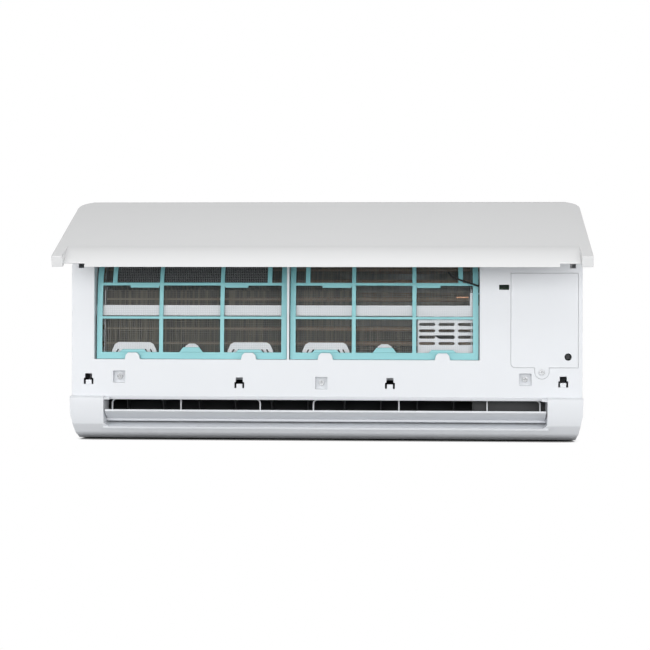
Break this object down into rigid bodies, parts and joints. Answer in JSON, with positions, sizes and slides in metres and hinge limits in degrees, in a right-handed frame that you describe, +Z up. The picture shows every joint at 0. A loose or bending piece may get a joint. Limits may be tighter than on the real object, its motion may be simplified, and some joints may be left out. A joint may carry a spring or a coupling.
{
  "type": "mini split indoor unit",
  "caption": "Wall-hung air conditioner indoor unit with a lifting front panel, washable net filters, finned coil, cross-flow fan and swinging louver.",
  "frame": {"origin": "centre of the wall plate's back face, at half the cabinet's height and width", "axes": "+X to the right as seen from the room, +Y into the wall, +Z up; the unit faces -Y"},
  "size_m": [0.72, 0.3127, 0.3386],
  "materials": {
    "frame_white": "glossy white moulding",
    "inner_white": "satin white moulding",
    "panel_white": "high gloss white",
    "plate_steel": "zinc plated",
    "dark_plastic": "dark satin moulding",
    "pan_foam": "light grey moulding",
    "fins": "thin pressed fins",
    "copper": "drawn copper tube",
    "nut_brass": "turned",
    "rubber": "matte",
    "circuit_board": "coated board",
    "filter_teal": "satin teal moulding",
    "filter_net": "fine woven net",
    "charcoal": "dark pleated filter"
  },
  "bodies": {
    "cabinet": {"front_frame": "frame_white", "top_grille": "frame_white", "electrical_cover": "frame_white", "rear_casing": "inner_white", "motor_clamp": "inner_white", "bearing_holder": "inner_white", "electrical_box": "inner_white", "terminal_block": "inner_white", "louver_motor": "inner_white", "outlet_guard_left": "inner_white", "outlet_guard_right": "inner_white", "wall_plate": "plate_steel", "coil_end_plate_left": "plate_steel", "coil_end_plate_right": "plate_steel", "fan_motor": "plate_steel", "cover_screw": "plate_steel", "frame_screw_left": "plate_steel", "frame_screw_middle": "plate_steel", "frame_screw_right": "plate_steel", "outlet_duct": "dark_plastic", "drain_pan": "pan_foam", "coil_front_lower": "fins", "coil_front_upper": "fins", "coil_rear": "fins", "coil_tubes_front_lower": "copper", "coil_tubes_front_upper": "copper", "coil_tubes_rear": "copper", "coil_sensor": "copper", "gas_pipe": "copper", "liquid_pipe": "copper", "gas_flare_nut": "nut_brass", "liquid_flare_nut": "nut_brass", "fan_bearing": "rubber", "display_lead": "rubber", "control_board": "circuit_board"},
    "panel": {"front_panel": "panel_white", "panel_arm_left": "inner_white", "panel_arm_right": "inner_white"},
    "filter_left": {"filter_frame_left": "filter_teal", "filter_net_left": "filter_net", "deodorising_filter": "charcoal"},
    "filter_right": {"filter_frame_right": "filter_teal", "filter_net_right": "filter_net"},
    "louver": {"louver": "frame_white"},
    "fan": {"cross_flow_fan": "dark_plastic", "motor_shaft": "plate_steel"},
    "button": {"manual_button": "dark_plastic"},
    "link_left": {"vane_link_left": "dark_plastic"},
    "link_right": {"vane_link_right": "dark_plastic"},
    "vane_left_1": {"vane_left_1": "dark_plastic"},
    "vane_left_2": {"vane_left_2": "dark_plastic"},
    "vane_left_3": {"vane_left_3": "dark_plastic"},
    "vane_left_4": {"vane_left_4": "dark_plastic"},
    "vane_left_5": {"vane_left_5": "dark_plastic"},
    "vane_right_1": {"vane_right_1": "dark_plastic"},
    "vane_right_2": {"vane_right_2": "dark_plastic"},
    "vane_right_3": {"vane_right_3": "dark_plastic"},
    "vane_right_4": {"vane_right_4": "dark_plastic"},
    "vane_right_5": {"vane_right_5": "dark_plastic"}
  },
  "joints": [
    {"name": "panel_hinge", "type": "hinge", "parent": "cabinet", "child": "panel", "pos_m": [0, -0.1074, 0.1042], "axis": [-1, 0, 0], "range_deg": [-67, 8]},
    {"name": "louver_swing", "type": "hinge", "parent": "cabinet", "child": "louver", "pos_m": [0, -0.16, -0.118], "axis": [1, 0, 0], "range_deg": [-33, 21]},
    {"name": "fan_spin", "type": "hinge", "parent": "cabinet", "child": "fan", "pos_m": [0, -0.08, -0.028], "axis": [1, 0, 0], "continuous": true},
    {"name": "filter_left_lift", "type": "slide", "parent": "cabinet", "child": "filter_left", "axis": [0, 0, 1], "range_m": [0, 0.008]},
    {"name": "filter_right_lift", "type": "slide", "parent": "cabinet", "child": "filter_right", "axis": [0, 0, 1], "range_m": [0, 0.008]},
    {"name": "button_press", "type": "slide", "parent": "cabinet", "child": "button", "axis": [0, 1, 0], "range_m": [0, 0.002], "stiffness_N_per_m": 400},
    {"name": "vane_left_3_turn", "type": "hinge", "parent": "cabinet", "child": "vane_left_3", "pos_m": [-0.18227, -0.128, -0.092], "axis": [0, -0.4384, 0.8988], "range_deg": [-30, 30]},
    {"name": "vane_left_1_turn", "type": "hinge", "parent": "cabinet", "child": "vane_left_1", "pos_m": [-0.2863, -0.128, -0.092], "axis": [0, -0.4384, 0.8988], "range_deg": [-30, 30]},
    {"name": "vane_left_2_turn", "type": "hinge", "parent": "cabinet", "child": "vane_left_2", "pos_m": [-0.23428, -0.128, -0.092], "axis": [0, -0.4384, 0.8988], "range_deg": [-30, 30]},
    {"name": "vane_left_4_turn", "type": "hinge", "parent": "cabinet", "child": "vane_left_4", "pos_m": [-0.13026, -0.128, -0.092], "axis": [0, -0.4384, 0.8988], "range_deg": [-30, 30]},
    {"name": "vane_left_5_turn", "type": "hinge", "parent": "cabinet", "child": "vane_left_5", "pos_m": [-0.07826, -0.128, -0.092], "axis": [0, -0.4384, 0.8988], "range_deg": [-30, 30]},
    {"name": "link_left_pivot", "type": "hinge", "parent": "vane_left_3", "child": "link_left", "pos_m": [-0.18227, -0.12114, -0.08142], "axis": [0, -0.4384, 0.8988], "range_deg": [-30, 30]},
    {"name": "vane_right_3_turn", "type": "hinge", "parent": "cabinet", "child": "vane_right_3", "pos_m": [0.07777, -0.128, -0.092], "axis": [0, -0.4384, 0.8988], "range_deg": [-30, 30]},
    {"name": "vane_right_1_turn", "type": "hinge", "parent": "cabinet", "child": "vane_right_1", "pos_m": [-0.02625, -0.128, -0.092], "axis": [0, -0.4384, 0.8988], "range_deg": [-30, 30]},
    {"name": "vane_right_2_turn", "type": "hinge", "parent": "cabinet", "child": "vane_right_2", "pos_m": [0.02576, -0.128, -0.092], "axis": [0, -0.4384, 0.8988], "range_deg": [-30, 30]},
    {"name": "vane_right_4_turn", "type": "hinge", "parent": "cabinet", "child": "vane_right_4", "pos_m": [0.12979, -0.128, -0.092], "axis": [0, -0.4384, 0.8988], "range_deg": [-30, 30]},
    {"name": "vane_right_5_turn", "type": "hinge", "parent": "cabinet", "child": "vane_right_5", "pos_m": [0.1818, -0.128, -0.092], "axis": [0, -0.4384, 0.8988], "range_deg": [-30, 30]},
    {"name": "link_right_pivot", "type": "hinge", "parent": "vane_right_3", "child": "link_right", "pos_m": [0.07777, -0.12114, -0.08142], "axis": [0, -0.4384, 0.8988], "range_deg": [-30, 30]}
  ],
  "couplings": [
    {"joint": "vane_left_1_turn", "follows": "vane_left_3_turn", "ratio": 1},
    {"joint": "vane_left_2_turn", "follows": "vane_left_3_turn", "ratio": 1},
    {"joint": "vane_left_4_turn", "follows": "vane_left_3_turn", "ratio": 1},
    {"joint": "vane_left_5_turn", "follows": "vane_left_3_turn", "ratio": 1},
    {"joint": "link_left_pivot", "follows": "vane_left_3_turn", "ratio": -1},
    {"joint": "vane_right_1_turn", "follows": "vane_right_3_turn", "ratio": 1},
    {"joint": "vane_right_2_turn", "follows": "vane_right_3_turn", "ratio": 1},
    {"joint": "vane_right_4_turn", "follows": "vane_right_3_turn", "ratio": 1},
    {"joint": "vane_right_5_turn", "follows": "vane_right_3_turn", "ratio": 1},
    {"joint": "link_right_pivot", "follows": "vane_right_3_turn", "ratio": -1}
  ]
}
